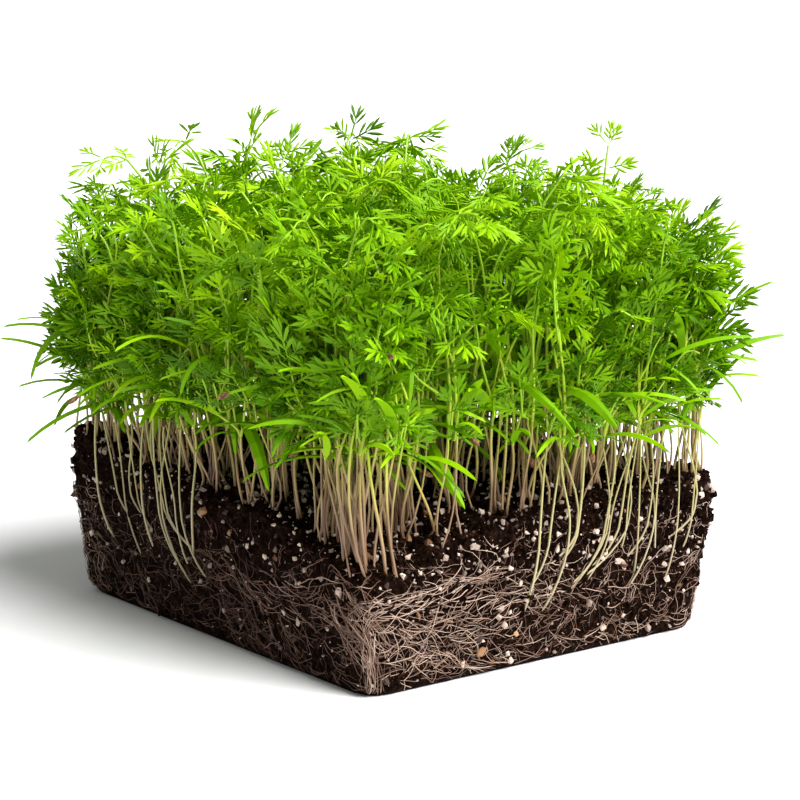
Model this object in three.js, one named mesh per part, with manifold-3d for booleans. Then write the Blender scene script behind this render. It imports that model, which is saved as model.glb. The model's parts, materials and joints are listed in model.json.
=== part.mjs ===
// A block of feathery microgreens lifted out of its growing tray: a tapered block of dark potting soil,
// nets of pale roots pressed flat on its four sides, and tufts of seedlings standing in holes in the soil.
// Millimetres, +Z up. The origin is the middle of the flat underside. X runs along the shorter side.
import * as THREE from "three";
import { mergeVertices } from "three/addons/utils/BufferGeometryUtils.js";
import Module from "manifold-3d";

const wasm = await Module();
wasm.setup();

// Soil block: the underside, the flare of the tray walls, and the heights of the loose top
const BASE_LENGTH_X = 118;
const BASE_LENGTH_Y = 145;
const WALL_FLARE = Math.tan(THREE.MathUtils.degToRad(6));
const CORNER_RADIUS = 6;
const PLANTING_HEIGHT = 46;
const EDGE_DROP = 4;
const LOOSE_INSET = 0.8;
const RIM_INSET = 2;
const UNDERSIDE_INSET = 1.2;
const LUMP_HEIGHT = 1.3;
// Outlines up the wall, in shares of the height there, and rings across the top, in shares of the rim
const WALL_SHARES = [0, 0.06, 0.35, 0.68];
const LOOSE_SHARE = 0.88;
const TOP_SHARES = [0.93, 0.78, 0.58, 0.36, 0.16];
const CORNER_STEPS = 3;
const SIDE_STEPS = 7;
// Where the top leaves the planting height: worn away at the near corner and heaped at the others
const CORNER_HEAPS = [
  { x: -1, y: -1, rise: -12, spread: 24 },
  { x: -1, y: 1, rise: 8, spread: 14 },
  { x: 1, y: -1, rise: 3, spread: 14 },
  { x: 1, y: 1, rise: 5, spread: 14 },
];
const CRUMB_COUNT = 14;
const CRUMB_RADIUS = 2.6;

// Root nets on the flat lower walls, and the bare stems that climb out of them
const ROOT_HALF_WIDTH = 0.55;
const ROOT_HALF_THICKNESS = 0.45;
const ROOT_END_MARGIN = 3;
const ROOT_RUN_HEIGHT = 23;
const ROOT_RUN_STEPS = 5;
const ROOT_DROPS = 5;
const ROOT_LOWEST = 2.2;
const SIDE_STEM_TOP = 72;
const SIDE_STEM_STANDOFF = 2.6;
const WALL_GAP = 0.35;

// Tufts of seedlings, sown on a grid that is a little uneven
const TUFTS_X = 6;
const TUFTS_Y = 7;
const SOWING_MARGIN = 9;
const SOWING_JITTER = 3;
const STEM_HALF_WIDTH = 0.75;
const BRANCH_SPREAD = 2.6;
const BRANCH_RISE = 5;
const STEM_DEPTH = 7;
const HOLE_HALF_WIDTH = 1.5;
const HOLE_GAP = 0.35;
const HOLE_HEADROOM = 20;

// Feathery leaves: pairs of pointed lobes along an arched rib, and a lobe at the tip
const LEAF_LENGTH = 35;
const RIB_SHARE = 0.72;
const RIB_HALF_WIDTHS = [0.7, 0.5];
const LOBE_REACH = 11;
const LOBE_SWEEP = 7;
const LOBE_TAPER = 0.2;
const BLADE_HALF_THICKNESS = 0.34;
const CANOPY_TOP = 133;
const CANOPY_DOME = 5;
const LEAF_TIERS = [
  { drop: 0, lobePairs: 4 },
  { drop: 22, lobePairs: 3 },
  { drop: 44, lobePairs: 3 },
];
const LEAF_RISE = 23;
const OUTWARD_LEAN = 5;
// The shoots that stand out above the rest
const TALL_SHOOTS = [
  { x: -19, y: 34, top: 148 },
  { x: 6, y: 14, top: 145 },
  { x: 52, y: -27, top: 142 },
  { x: -42, y: 50, top: 141 },
];

// Strap-shaped seed leaves on the outer tufts
const STRAP_LENGTH = 27;
const STRAP_TIP_SHARE = 0.15;
const STRAP_STEPS = 3;
const STRAP_HALF_WIDTH = 1.25;
const STRAP_HEIGHT = 68;

// Room kept between neighbours, and how often a leaf is turned before it is left out
const CLEARANCE = 0.4;
const PLACING_TRIES = 240;

const SOIL = new THREE.MeshStandardMaterial({ color: 0x2a1c16, roughness: 0.97, metalness: 0 });
const ROOT = new THREE.MeshStandardMaterial({ color: 0xb89a70, roughness: 0.85, metalness: 0 });
const LEAF = new THREE.MeshStandardMaterial({ color: 0x62b021, roughness: 0.55, metalness: 0 });

const UP = new THREE.Vector3(0, 0, 1);

// Repeatable random numbers from 0 to 1
function randomSource(seed) {
  let state = seed >>> 0;
  return () => {
    state = (state + 0x6d2b79f5) >>> 0;
    let mixed = Math.imul(state ^ (state >>> 15), state | 1);
    mixed ^= mixed + Math.imul(mixed ^ (mixed >>> 7), mixed | 61);
    return ((mixed ^ (mixed >>> 14)) >>> 0) / 4294967296;
  };
}

function geometryOf(points, triangles) {
  const geometry = new THREE.BufferGeometry().setFromPoints(points);
  geometry.setIndex(triangles.flat());
  return geometry;
}

function solidOf(geometry) {
  const bare = geometry.clone();
  bare.deleteAttribute("normal");
  bare.deleteAttribute("uv");
  const merged = mergeVertices(bare, 1e-4);
  const vertProperties = new Float32Array(merged.attributes.position.array);
  const triVerts = new Uint32Array(merged.index.array);
  return new wasm.Manifold(new wasm.Mesh({ numProp: 3, vertProperties, triVerts }));
}

// The largest body of a solid, without the scraps that a cut can leave
function mainBodyOf(solid) {
  return solid.decompose().reduce((best, body) => (body.volume() > best.volume() ? body : best));
}

function meshOf(name, solid, material) {
  const { vertProperties, triVerts } = mainBodyOf(solid).getMesh();
  const geometry = new THREE.BufferGeometry();
  geometry.setAttribute("position", new THREE.BufferAttribute(vertProperties, 3));
  geometry.setIndex(new THREE.BufferAttribute(triVerts, 1));
  geometry.computeVertexNormals();
  const mesh = new THREE.Mesh(geometry, material);
  mesh.name = name;
  return mesh;
}

// Half the block's length along X and Y at a height
function halfSizes(z) {
  return { x: BASE_LENGTH_X / 2 + z * WALL_FLARE, y: BASE_LENGTH_Y / 2 + z * WALL_FLARE };
}

function heapAt(x, y) {
  const half = halfSizes(PLANTING_HEIGHT);
  return CORNER_HEAPS.reduce((rise, heap) => {
    const distance = Math.hypot(x - heap.x * half.x, y - heap.y * half.y);
    return rise + heap.rise * Math.exp(-((distance / heap.spread) ** 2) / 2);
  }, 0);
}

function lumpAt(x, y, z) {
  const coarse = Math.sin(0.31 * x + 0.12 * z) * Math.sin(0.27 * y + 0.9);
  const fine = Math.sin(0.83 * x + 2.1) * Math.sin(0.71 * y + 0.5 * z);
  return LUMP_HEIGHT * (0.6 * coarse + 0.4 * fine);
}

function soilHeight(x, y) {
  const half = halfSizes(PLANTING_HEIGHT);
  const nearEdge = Math.max(Math.abs(x) / half.x, Math.abs(y) / half.y) ** 8;
  return PLANTING_HEIGHT - EDGE_DROP * nearEdge + heapAt(x, y) + lumpAt(x, y, 0);
}

// Points anticlockwise round a rectangle with rounded corners
function roundedOutline(half, radius) {
  const outline = [];
  const corners = [[1, 1], [-1, 1], [-1, -1], [1, -1]];
  corners.forEach(([sx, sy], corner) => {
    for (let step = 0; step <= CORNER_STEPS; step += 1) {
      const angle = (corner + step / CORNER_STEPS) * (Math.PI / 2);
      const point = new THREE.Vector2(Math.cos(angle), Math.sin(angle)).multiplyScalar(radius);
      outline.push(point.add(new THREE.Vector2(sx * (half.x - radius), sy * (half.y - radius))));
    }
    const [nextX, nextY] = corners[(corner + 1) % 4];
    const start = outline[outline.length - 1];
    const turn = (corner + 1) * (Math.PI / 2);
    const end = new THREE.Vector2(nextX * (half.x - radius), nextY * (half.y - radius));
    end.add(new THREE.Vector2(Math.cos(turn), Math.sin(turn)).multiplyScalar(radius));
    for (let step = 1; step < SIDE_STEPS; step += 1) {
      outline.push(start.clone().lerp(end, step / SIDE_STEPS));
    }
  });
  return outline;
}

// The block is a stack of outlines: flared flat walls below, a lumpy loose rim, and rings across the top
function soilSolid() {
  const rim = roundedOutline(halfSizes(PLANTING_HEIGHT), CORNER_RADIUS);
  const rimHeights = rim.map(({ x, y }) => soilHeight(x, y));
  const count = rim.length;
  const wallRing = (share, growthAt) =>
    rim.map((spot, index) => {
      const z = share * rimHeights[index];
      const half = halfSizes(z);
      const growth = growthAt(spot);
      const outline = roundedOutline({ x: half.x + growth, y: half.y + growth }, CORNER_RADIUS);
      return new THREE.Vector3(outline[index].x, outline[index].y, z);
    });
  const topRing = (share) =>
    rim.map(({ x, y }) => new THREE.Vector3(x * share, y * share, soilHeight(x * share, y * share)));
  const rings = [
    ...WALL_SHARES.map((share) => wallRing(share, () => (share === 0 ? -UNDERSIDE_INSET : 0))),
    wallRing(LOOSE_SHARE, ({ x, y }) => lumpAt(x, y, PLANTING_HEIGHT) - LOOSE_INSET),
    wallRing(1, ({ x, y }) => lumpAt(x, y, PLANTING_HEIGHT) - RIM_INSET),
    ...TOP_SHARES.map(topRing),
  ];
  const points = rings.flat();
  const underside = points.push(new THREE.Vector3(0, 0, 0)) - 1;
  const summit = points.push(new THREE.Vector3(0, 0, soilHeight(0, 0))) - 1;
  const lastRing = (rings.length - 1) * count;
  const triangles = [];
  for (let index = 0; index < count; index += 1) {
    const next = (index + 1) % count;
    triangles.push([underside, next, index], [lastRing + index, lastRing + next, summit]);
    for (let ring = 0; ring < rings.length - 1; ring += 1) {
      const low = ring * count;
      const high = low + count;
      triangles.push([low + index, low + next, high + next], [low + index, high + next, high + index]);
    }
  }
  return solidOf(geometryOf(points, triangles));
}

// Crumbs of bark and perlite standing out of the loose top
function crumbSolids() {
  const random = randomSource(7);
  const golden = Math.PI * (3 - Math.sqrt(5));
  return Array.from({ length: CRUMB_COUNT }, (_, index) => {
    const angle = index * golden;
    const half = halfSizes(PLANTING_HEIGHT);
    const scale = 0.84 + 0.1 * random();
    const reach = scale / Math.max(Math.abs(Math.cos(angle)) / half.x, Math.abs(Math.sin(angle)) / half.y);
    const x = reach * Math.cos(angle);
    const y = reach * Math.sin(angle);
    const crumb = new THREE.OctahedronGeometry(CRUMB_RADIUS * (0.75 + 0.5 * random()));
    crumb.rotateX(6 * random());
    crumb.rotateZ(6 * random());
    crumb.translate(x, y, soilHeight(x, y) + 0.3);
    return solidOf(crumb);
  });
}

// A thin bar along stations that each hold a point, a side and an up direction, and two half sizes. Lobes
// stand out of both edges between stations, and the end is a pointed tip or, without one, a flat cap.
function barGeometry(stations, lobes, tip) {
  const points = [];
  const triangles = [];
  const quad = (a, b, c, d) => triangles.push([a, b, c], [a, c, d]);
  const addEdge = (point, up, halfThickness) => {
    points.push(point.clone().addScaledVector(up, halfThickness));
    points.push(point.clone().addScaledVector(up, -halfThickness));
    return [points.length - 2, points.length - 1];
  };
  const edges = stations.map(({ point, side, up, halfWidth, halfThickness }) => {
    const left = addEdge(point.clone().addScaledVector(side, -halfWidth), up, halfThickness);
    const right = addEdge(point.clone().addScaledVector(side, halfWidth), up, halfThickness);
    return { leftTop: left[0], leftLow: left[1], rightTop: right[0], rightLow: right[1] };
  });
  quad(edges[0].rightTop, edges[0].leftTop, edges[0].leftLow, edges[0].rightLow);
  edges.slice(1).forEach((b, index) => {
    const a = edges[index];
    quad(a.leftTop, a.rightTop, b.rightTop, b.leftTop);
    quad(a.rightLow, a.leftLow, b.leftLow, b.rightLow);
    const lobe = lobes.find((one) => one.segment === index);
    if (!lobe) {
      quad(a.rightTop, a.rightLow, b.rightLow, b.rightTop);
      quad(a.leftLow, a.leftTop, b.leftTop, b.leftLow);
      return;
    }
    const [rightTop, rightLow] = addEdge(lobe.right, lobe.up, BLADE_HALF_THICKNESS);
    triangles.push([a.rightTop, rightTop, b.rightTop], [a.rightLow, b.rightLow, rightLow]);
    quad(a.rightTop, a.rightLow, rightLow, rightTop);
    quad(rightTop, rightLow, b.rightLow, b.rightTop);
    const [leftTop, leftLow] = addEdge(lobe.left, lobe.up, BLADE_HALF_THICKNESS);
    triangles.push([a.leftTop, b.leftTop, leftTop], [a.leftLow, leftLow, b.leftLow]);
    quad(a.leftLow, a.leftTop, leftTop, leftLow);
    quad(leftLow, leftTop, b.leftTop, b.leftLow);
  });
  const last = edges[edges.length - 1];
  if (tip) {
    const [tipTop, tipLow] = addEdge(tip.point, tip.up, BLADE_HALF_THICKNESS);
    triangles.push([last.leftTop, last.rightTop, tipTop], [last.rightLow, last.leftLow, tipLow]);
    quad(last.rightTop, last.rightLow, tipLow, tipTop);
    quad(last.leftLow, last.leftTop, tipTop, tipLow);
  } else {
    quad(last.leftTop, last.rightTop, last.rightLow, last.leftLow);
  }
  return geometryOf(points, triangles);
}

// Stations of a bar that stays in the upright plane through a foot point, facing an azimuth. Each step
// gives the distance out from the foot, the height, the slope of the bar there, and the half sizes.
function uprightStations(foot, azimuth, steps) {
  const outward = new THREE.Vector3(Math.cos(azimuth), Math.sin(azimuth), 0);
  const side = new THREE.Vector3().crossVectors(outward, UP);
  return steps.map(({ out, z, slope, halfWidth, halfThickness }) => {
    const along = outward.clone().multiplyScalar(Math.cos(slope)).addScaledVector(UP, Math.sin(slope));
    const point = new THREE.Vector3(foot.x, foot.y, z).addScaledVector(outward, out);
    const up = new THREE.Vector3().crossVectors(side, along);
    return { point, side, along, up, halfWidth, halfThickness };
  });
}

// Steps along an arc that starts at a place and bends from one slope to another
function arcSteps(out, z, length, slopes, count, halfWidths) {
  const steps = [];
  const stride = length / count;
  for (let index = 0; index <= count; index += 1) {
    const slope = THREE.MathUtils.lerp(slopes[0], slopes[1], index / count);
    const halfWidth = THREE.MathUtils.lerp(halfWidths[0], halfWidths[1], index / count);
    steps.push({ out, z, slope, halfWidth, halfThickness: BLADE_HALF_THICKNESS });
    out += stride * Math.cos(slope);
    z += stride * Math.sin(slope);
  }
  return steps;
}

// One seedling: a stem that turns into the rib of a feathery leaf. The first of a tuft stands down in the
// soil, and the others spread out of its foot.
function seedlingSolid(foot, shape) {
  const { azimuth, lean, leafBase, leafLength, lobePairs, slopes, first } = shape;
  const stem = (halfWidth) => ({ halfWidth, halfThickness: halfWidth });
  const rise = Math.atan2(leafBase - foot.z, lean);
  const ribLength = RIB_SHARE * leafLength;
  const stride = ribLength / lobePairs;
  const rib = arcSteps(lean, leafBase, ribLength, slopes, lobePairs, RIB_HALF_WIDTHS);
  const start = first
    ? [
        { out: 0, z: foot.z - STEM_DEPTH, slope: Math.PI / 2, ...stem(STEM_HALF_WIDTH) },
        { out: 0, z: foot.z + BRANCH_RISE, slope: rise, ...stem(STEM_HALF_WIDTH) },
      ]
    : [
        { out: 0, z: foot.z + 1, slope: 1, ...stem(0.6 * STEM_HALF_WIDTH) },
        { out: BRANCH_SPREAD, z: foot.z + BRANCH_RISE, slope: rise, ...stem(0.9 * STEM_HALF_WIDTH) },
      ];
  const steps = [...start, ...rib];
  const stations = uprightStations(foot, azimuth, steps);
  const ribStart = steps.length - rib.length;
  const lobes = [];
  for (let pair = 0; pair < lobePairs; pair += 1) {
    const station = stations[ribStart + pair];
    const reach = LOBE_REACH * (leafLength / LEAF_LENGTH) * (1 - LOBE_TAPER * pair);
    const middle = station.point.clone().addScaledVector(station.along, LOBE_SWEEP + stride / 2);
    lobes.push({
      segment: ribStart + pair,
      left: middle.clone().addScaledVector(station.side, -reach),
      right: middle.clone().addScaledVector(station.side, reach),
      up: station.up,
    });
  }
  const last = stations[stations.length - 1];
  const tipPoint = last.point.clone().addScaledVector(last.along, leafLength - ribLength);
  return solidOf(barGeometry(stations, lobes, { point: tipPoint, up: last.up }));
}

// A seed leaf: a narrow strap that arches away from the stem it is rooted in
function strapSolid(root, azimuth, length, slopes) {
  const tipLength = STRAP_TIP_SHARE * length;
  const halfWidths = [RIB_HALF_WIDTHS[0], STRAP_HALF_WIDTH];
  const steps = arcSteps(0, root.z, length - tipLength, slopes, STRAP_STEPS, halfWidths);
  const stations = uprightStations(root, azimuth, steps);
  const last = stations[stations.length - 1];
  const tipPoint = last.point.clone().addScaledVector(last.along, tipLength);
  return solidOf(barGeometry(stations, [], { point: tipPoint, up: last.up }));
}

function boxesMeet(a, b) {
  const reaches = (one, other, axis) => one.min[axis] < other.max[axis] + CLEARANCE;
  return [0, 1, 2].every((axis) => reaches(a, b, axis) && reaches(b, a, axis));
}

// Solids that later pieces keep clear of, each with its owner's name
const standing = [];

function addStanding(owner, solid) {
  standing.push({ owner, solid, box: solid.boundingBox() });
}

function isClear(owner, solid) {
  const box = solid.boundingBox();
  const near = standing.filter((other) => other.owner !== owner && boxesMeet(box, other.box));
  return near.every((other) => solid.minGap(other.solid, CLEARANCE) >= CLEARANCE);
}

// The walls, each with the direction that it faces and the number of bare stems on it
const WALLS = [
  { name: "left", facing: new THREE.Vector3(-1, 0, 0), stems: 4 },
  { name: "front", facing: new THREE.Vector3(0, -1, 0), stems: 4 },
  { name: "right", facing: new THREE.Vector3(1, 0, 0), stems: 3 },
  { name: "back", facing: new THREE.Vector3(0, 1, 0), stems: 3 },
];

// Half of what the underside measures along a direction
function halfBase(direction) {
  return (Math.abs(direction.x) * BASE_LENGTH_X + Math.abs(direction.y) * BASE_LENGTH_Y) / 2;
}

// A flat root or a bare stem through places on a wall, given as run along it, height, and distance off it
function wallStrandSolid(wall, places) {
  const run = new THREE.Vector3().crossVectors(UP, wall.facing);
  const depth = halfBase(wall.facing);
  const spots = places.map(([along, z, off]) =>
    new THREE.Vector3(0, 0, z)
      .addScaledVector(wall.facing, depth + z * WALL_FLARE + off)
      .addScaledVector(run, along),
  );
  const stations = spots.map((point, index) => {
    const before = spots[Math.max(index - 1, 0)];
    const after = spots[Math.min(index + 1, spots.length - 1)];
    const heading = after.clone().sub(before).normalize();
    const side = new THREE.Vector3().crossVectors(heading, wall.facing).normalize();
    const up = new THREE.Vector3().crossVectors(side, heading);
    return { point, side, up, halfWidth: ROOT_HALF_WIDTH, halfThickness: ROOT_HALF_THICKNESS };
  });
  return solidOf(barGeometry(stations, [], null));
}

// A root that runs along the wall, roots that wander down from it, and bare stems that climb past the rim
function rootNetSolid(wall, seed) {
  const random = randomSource(seed);
  const wander = (size) => size * (2 * random() - 1);
  const off = WALL_GAP + ROOT_HALF_THICKNESS;
  const reach = halfBase(new THREE.Vector3().crossVectors(UP, wall.facing)) - ROOT_END_MARGIN;
  const runPlaces = [];
  for (let step = 0; step <= ROOT_RUN_STEPS; step += 1) {
    runPlaces.push([reach * ((2 * step) / ROOT_RUN_STEPS - 1), ROOT_RUN_HEIGHT + wander(3), off]);
  }
  const heightOnRun = (along) => {
    const share = (along / reach + 1) / 2;
    const place = THREE.MathUtils.clamp(share * ROOT_RUN_STEPS, 0, ROOT_RUN_STEPS - 1e-6);
    const step = Math.floor(place);
    return THREE.MathUtils.lerp(runPlaces[step][1], runPlaces[step + 1][1], place - step);
  };
  const strands = [wallStrandSolid(wall, runPlaces)];
  for (let drop = 0; drop < ROOT_DROPS; drop += 1) {
    const along = reach * ((2 * (drop + 0.5)) / ROOT_DROPS - 1) + wander(4);
    const slant = wander(8);
    const top = heightOnRun(along) + 0.2;
    const lift = off + 0.12 * random();
    const places = [0, 0.5, 1].map((share) => [
      THREE.MathUtils.clamp(along + slant * share + (share === 0.5 ? wander(3) : 0), -reach, reach),
      THREE.MathUtils.lerp(top, ROOT_LOWEST, share),
      lift,
    ]);
    strands.push(wallStrandSolid(wall, places));
  }
  for (let stem = 0; stem < wall.stems; stem += 1) {
    const foot = 0.86 * reach * ((2 * (stem + 0.5)) / wall.stems - 1) + wander(4);
    const lean = wander(7);
    strands.push(
      wallStrandSolid(wall, [
        [foot, heightOnRun(foot) - 0.2, off + 0.15],
        [foot + 0.4 * lean, PLANTING_HEIGHT - 4, SIDE_STEM_STANDOFF],
        [foot + lean, SIDE_STEM_TOP + wander(4), SIDE_STEM_STANDOFF],
      ]),
    );
  }
  return wasm.Manifold.union(strands);
}

// Feet of the tufts, row by row
function sowingPlaces() {
  const random = randomSource(21);
  const half = halfSizes(PLANTING_HEIGHT);
  const spread = (index, count, reach) => reach * ((2 * index) / (count - 1) - 1);
  const places = [];
  for (let row = 0; row < TUFTS_Y; row += 1) {
    for (let column = 0; column < TUFTS_X; column += 1) {
      const edge = row === 0 || row === TUFTS_Y - 1 || column === 0 || column === TUFTS_X - 1;
      const x = spread(column, TUFTS_X, half.x - SOWING_MARGIN) + SOWING_JITTER * (random() - 0.5);
      const y = spread(row, TUFTS_Y, half.y - SOWING_MARGIN) + SOWING_JITTER * (random() - 0.5);
      places.push({ foot: new THREE.Vector3(x, y, soilHeight(x, y)), edge });
    }
  }
  return places;
}

function canopyTop(foot) {
  const half = halfSizes(PLANTING_HEIGHT);
  return CANOPY_TOP - CANOPY_DOME * ((foot.x / half.x) ** 2 + (foot.y / half.y) ** 2);
}

// Tries one shape after another until a solid stands clear of the other tufts
function placeClear(owner, makeSolid) {
  for (let attempt = 0; attempt < PLACING_TRIES; attempt += 1) {
    const made = makeSolid(attempt / PLACING_TRIES);
    if (isClear(owner, made.solid)) {
      addStanding(owner, made.solid);
      return made;
    }
    made.solid.delete();
  }
  return null;
}

// A tuft: seedlings at three heights out of one hole, and a seed leaf where the tuft is at the edge
function tuftSolid(name, { foot, edge }, tallShoots, seed) {
  const random = randomSource(seed);
  const wander = (size) => size * (2 * random() - 1);
  const half = halfSizes(PLANTING_HEIGHT);
  const outward = Math.atan2(foot.y / half.y, foot.x / half.x);
  const fan = edge ? 1.2 : (2 * Math.PI) / 3;
  const turn = edge ? 0 : wander(Math.PI);
  const seedlings = LEAF_TIERS.map(({ drop, lobePairs }, index) => {
    const tall = index === 0 ? tallShoots.shift() : undefined;
    return placeClear(name, (effort) => {
      const azimuth = outward + turn + (index - 1) * fan + wander(0.3 + 2 * effort);
      const lean = tall ? 3 : OUTWARD_LEAN * (0.5 + random()) + wander(4 * effort);
      const top = tall ? tall.top : canopyTop(foot) - drop + wander(6 + 10 * effort);
      const leafLength = LEAF_LENGTH * (1.02 - 0.12 * index + wander(0.08)) * (1 - 0.35 * effort);
      const droop = index * (edge ? 0.4 : 0.2);
      const slopes = tall ? [1.4, 1.0] : [1.25 - droop, 0.65 - droop];
      const leafBase = top - LEAF_RISE * (tall ? 1.35 : 1 - 0.3 * droop);
      const shape = { azimuth, lean, leafBase, leafLength, lobePairs, slopes, first: index === 0 };
      return { solid: seedlingSolid(foot, shape), ...shape };
    });
  }).filter(Boolean);
  const parts = seedlings.map(({ solid }) => solid);
  if (edge) {
    const carrier = seedlings[0];
    const stemFoot = foot.z + BRANCH_RISE;
    const share = (STRAP_HEIGHT + wander(4) - stemFoot) / (carrier.leafBase - stemFoot);
    const root = new THREE.Vector3(Math.cos(carrier.azimuth), Math.sin(carrier.azimuth), 0);
    root.multiplyScalar(share * carrier.lean).add(foot);
    root.z = THREE.MathUtils.lerp(stemFoot, carrier.leafBase, share);
    const strap = placeClear(name, (effort) => {
      const azimuth = outward + wander(0.7 + 1.5 * effort);
      const length = STRAP_LENGTH * (0.95 + 0.25 * random()) * (1 - 0.4 * effort);
      return { solid: strapSolid(root, azimuth, length, [0.75 + wander(0.3), -0.55 + wander(0.3)]) };
    });
    if (strap) parts.push(strap.solid);
  }
  return wasm.Manifold.union(parts);
}

// A plain square hole down into the soil, open at the top
function holeSolid(foot) {
  const height = STEM_DEPTH + HOLE_GAP + HOLE_HEADROOM;
  const hole = new THREE.BoxGeometry(2 * HOLE_HALF_WIDTH, 2 * HOLE_HALF_WIDTH, height);
  hole.translate(foot.x, foot.y, foot.z - STEM_DEPTH - HOLE_GAP + height / 2);
  return solidOf(hole);
}

// Each tall shoot belongs to the tuft nearest to it
function shareTallShoots(places) {
  const shares = places.map(() => []);
  TALL_SHOOTS.forEach((shoot) => {
    const distances = places.map(({ foot }) => Math.hypot(foot.x - shoot.x, foot.y - shoot.y));
    shares[distances.indexOf(Math.min(...distances))].push(shoot);
  });
  return shares;
}

const block = new THREE.Group();
const places = sowingPlaces();
const soil = wasm.Manifold.union([soilSolid(), ...crumbSolids()]);
const holes = wasm.Manifold.union(places.map(({ foot }) => holeSolid(foot)));
block.add(meshOf("soil_block", soil.subtract(holes), SOIL));

WALLS.forEach((wall, index) => {
  const name = `root_net_${wall.name}`;
  const net = rootNetSolid(wall, 101 + index);
  addStanding(name, net);
  block.add(meshOf(name, net, ROOT));
});

const tallShares = shareTallShoots(places);
places.forEach((place, index) => {
  const name = `seedlings_${String(index + 1).padStart(2, "0")}`;
  block.add(meshOf(name, tuftSolid(name, place, tallShares[index], 301 + index), LEAF));
});

export default block;
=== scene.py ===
import json
import math

import bmesh
import bpy
import numpy as np
from mathutils import Euler, Matrix, Vector
from mathutils.bvhtree import BVHTree

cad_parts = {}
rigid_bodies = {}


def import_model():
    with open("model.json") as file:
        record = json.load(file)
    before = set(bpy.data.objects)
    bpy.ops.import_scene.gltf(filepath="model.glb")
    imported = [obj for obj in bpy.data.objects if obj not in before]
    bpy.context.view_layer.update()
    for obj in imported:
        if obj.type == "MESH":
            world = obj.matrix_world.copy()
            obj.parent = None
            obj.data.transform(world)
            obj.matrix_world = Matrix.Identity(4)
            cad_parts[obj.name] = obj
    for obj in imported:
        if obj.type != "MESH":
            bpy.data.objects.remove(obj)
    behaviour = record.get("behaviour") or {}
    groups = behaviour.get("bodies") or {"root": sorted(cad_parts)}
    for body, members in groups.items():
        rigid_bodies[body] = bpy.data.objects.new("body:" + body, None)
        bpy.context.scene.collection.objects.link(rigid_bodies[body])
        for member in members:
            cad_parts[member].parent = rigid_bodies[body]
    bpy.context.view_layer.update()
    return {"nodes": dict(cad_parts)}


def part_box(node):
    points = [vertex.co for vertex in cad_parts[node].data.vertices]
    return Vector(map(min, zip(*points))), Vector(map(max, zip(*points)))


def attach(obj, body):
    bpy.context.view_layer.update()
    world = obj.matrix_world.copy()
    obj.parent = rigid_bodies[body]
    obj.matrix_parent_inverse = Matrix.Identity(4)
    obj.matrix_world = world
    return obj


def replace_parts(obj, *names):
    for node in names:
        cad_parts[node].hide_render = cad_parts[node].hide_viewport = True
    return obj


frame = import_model()

# Soil block. Moist potting soil of peat and bark crumbs, bound into one tapered block by roots. The tray's
# walls pressed it fairly smooth below. Above them it lies loose in clods, so the lumps grow with height.
MM = 0.001
SOIL_GRAIN = 0.85 * MM
SOCKET_DEPTH = 7 * MM
SOCKET_WIDTH = 3.4 * MM
CLOD_SIZE = 5.5 * MM
CLOD_HEIGHT = 2.6 * MM
CRUMB_SIZE = 2.2 * MM
CRUMB_HEIGHT = 1.5 * MM
PRESSED_BELOW = 22 * MM
PRESSED_SHARE = 0.45
LOOSE_ABOVE = 33 * MM
FLAT_BELOW = 0.2 * MM
FOOTING_HEIGHT = 3 * MM


def linear(hex_colour):
    """An sRGB hex colour as linear red, green, blue and alpha."""
    parts = [int(hex_colour[at:at + 2], 16) / 255 for at in (1, 3, 5)]
    return [p / 12.92 if p <= 0.04045 else ((p + 0.055) / 1.055) ** 2.4 for p in parts] + [1.0]


def add(tree, kind, inputs=None, **settings):
    """Adds a node with its settings, and gives its inputs values or links from other nodes' outputs."""
    made = tree.nodes.new(kind)
    for name, value in settings.items():
        setattr(made, name, value)
    for key, value in (inputs or {}).items():
        if isinstance(value, bpy.types.NodeSocket):
            tree.links.new(value, made.inputs[key])
        else:
            made.inputs[key].default_value = value
    return made


def start_material(name):
    """A new material and its empty node tree."""
    material = bpy.data.materials.new(name)
    material.use_nodes = True
    tree = material.node_tree
    tree.nodes.clear()
    return material, tree


def ramp(tree, factor, *stops):
    """A colour ramp through hex colours at shares of its factor."""
    made = add(tree, "ShaderNodeValToRGB", {"Fac": factor})
    elements = made.color_ramp.elements
    for element, (at, shade) in zip(elements, (stops[0], stops[-1])):
        element.position = at
        element.color = linear(shade)
    for at, shade in stops[1:-1]:
        elements.new(at).color = linear(shade)
    return made.outputs["Color"]


def start_tree(name, **inputs):
    """A new geometry tree with named inputs, and the sockets that its nodes read them from."""
    tree = bpy.data.node_groups.new(name, "GeometryNodeTree")
    tree.interface.new_socket("Geometry", in_out="INPUT", socket_type="NodeSocketGeometry")
    tree.interface.new_socket("Geometry", in_out="OUTPUT", socket_type="NodeSocketGeometry")
    for label, kind in inputs.items():
        tree.interface.new_socket(label, in_out="INPUT", socket_type="NodeSocket" + kind)
    return tree, add(tree, "NodeGroupInput").outputs


def end_tree(tree, geometry, material):
    """Realizes what a tree has made, gives it a material and sends it out."""
    real = add(tree, "GeometryNodeRealizeInstances", {0: geometry})
    dressed = add(tree, "GeometryNodeSetMaterial", {0: real.outputs[0], "Material": material})
    add(tree, "NodeGroupOutput", {0: dressed.outputs[0]})


def new_object(name, mesh):
    """A mesh as an object of the scene."""
    made = bpy.data.objects.new(name, mesh)
    bpy.context.scene.collection.objects.link(made)
    return made


def run_tree(worker, tree, **values):
    """Puts a geometry tree on an object, with its named inputs set."""
    modifier = worker.modifiers.new(tree.name, "NODES")
    modifier.node_group = tree
    for item in tree.interface.items_tree:
        if item.in_out == "INPUT" and item.name in values:
            modifier[item.identifier] = values[item.name]


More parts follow.
